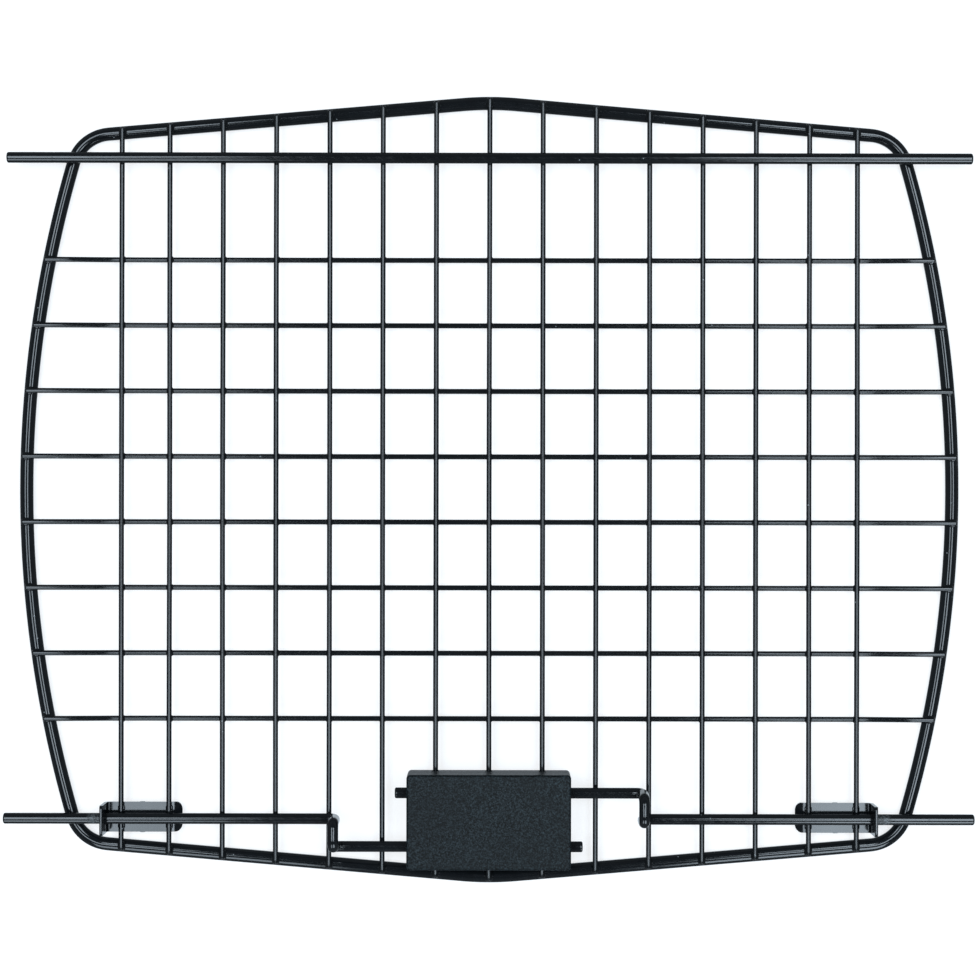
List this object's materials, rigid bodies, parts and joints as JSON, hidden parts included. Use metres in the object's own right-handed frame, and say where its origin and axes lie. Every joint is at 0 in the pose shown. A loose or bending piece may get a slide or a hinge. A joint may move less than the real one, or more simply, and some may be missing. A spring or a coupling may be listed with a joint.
{
  "type": "pet kennel door",
  "caption": "Wire-grid door of a pet kennel: a bent round-rod frame with a welded grid, a fixed hinge rod, and sprung latch rods that are squeezed together at a plastic housing.",
  "frame": {"origin": "centre of the door in plan, on the plane that the perimeter frame lies on", "axes": "the door lies on its back: +Z out of its front, +X along the hinge rod, +Y from the latch rods to the hinge rod"},
  "size_m": [0.4608, 0.376, 0.0298],
  "materials": {
    "black_coated_steel": "gloss",
    "black_moulded_plastic": "fine pebble",
    "spring_steel": "drawn wire",
    "zinc_plated_steel": "bright zinc"
  },
  "bodies": {
    "door": {"perimeter_frame": "black_coated_steel", "vertical_wire_01": "black_coated_steel", "vertical_wire_02": "black_coated_steel", "vertical_wire_03": "black_coated_steel", "vertical_wire_04": "black_coated_steel", "vertical_wire_05": "black_coated_steel", "vertical_wire_06": "black_coated_steel", "vertical_wire_07": "black_coated_steel", "vertical_wire_08": "black_coated_steel", "vertical_wire_09": "black_coated_steel", "vertical_wire_10": "black_coated_steel", "vertical_wire_11": "black_coated_steel", "vertical_wire_12": "black_coated_steel", "vertical_wire_13": "black_coated_steel", "vertical_wire_14": "black_coated_steel", "vertical_wire_15": "black_coated_steel", "horizontal_wire_01": "black_coated_steel", "horizontal_wire_02": "black_coated_steel", "horizontal_wire_03": "black_coated_steel", "horizontal_wire_04": "black_coated_steel", "horizontal_wire_05": "black_coated_steel", "horizontal_wire_06": "black_coated_steel", "horizontal_wire_07": "black_coated_steel", "horizontal_wire_08": "black_coated_steel", "hinge_rod": "black_coated_steel", "left_bracket": "black_coated_steel", "right_bracket": "black_coated_steel", "latch_base": "black_moulded_plastic", "latch_cover": "black_moulded_plastic", "housing_screws": "zinc_plated_steel", "left_latch_spring": "spring_steel", "right_latch_spring": "spring_steel"},
    "left_latch": {"left_latch_rod": "black_coated_steel", "left_spring_clip": "zinc_plated_steel"},
    "right_latch": {"right_latch_rod": "black_coated_steel", "right_spring_clip": "zinc_plated_steel"}
  },
  "joints": [
    {"name": "left_latch_slide", "type": "slide", "parent": "door", "child": "left_latch", "axis": [1, 0, 0], "range_m": [0, 0.018], "stiffness_N_per_m": 400, "springref_m": -0.0185, "deforming": ["left_latch_spring"]},
    {"name": "right_latch_slide", "type": "slide", "parent": "door", "child": "right_latch", "axis": [-1, 0, 0], "range_m": [0, 0.018], "stiffness_N_per_m": 400, "springref_m": -0.0185, "deforming": ["right_latch_spring"]}
  ]
}
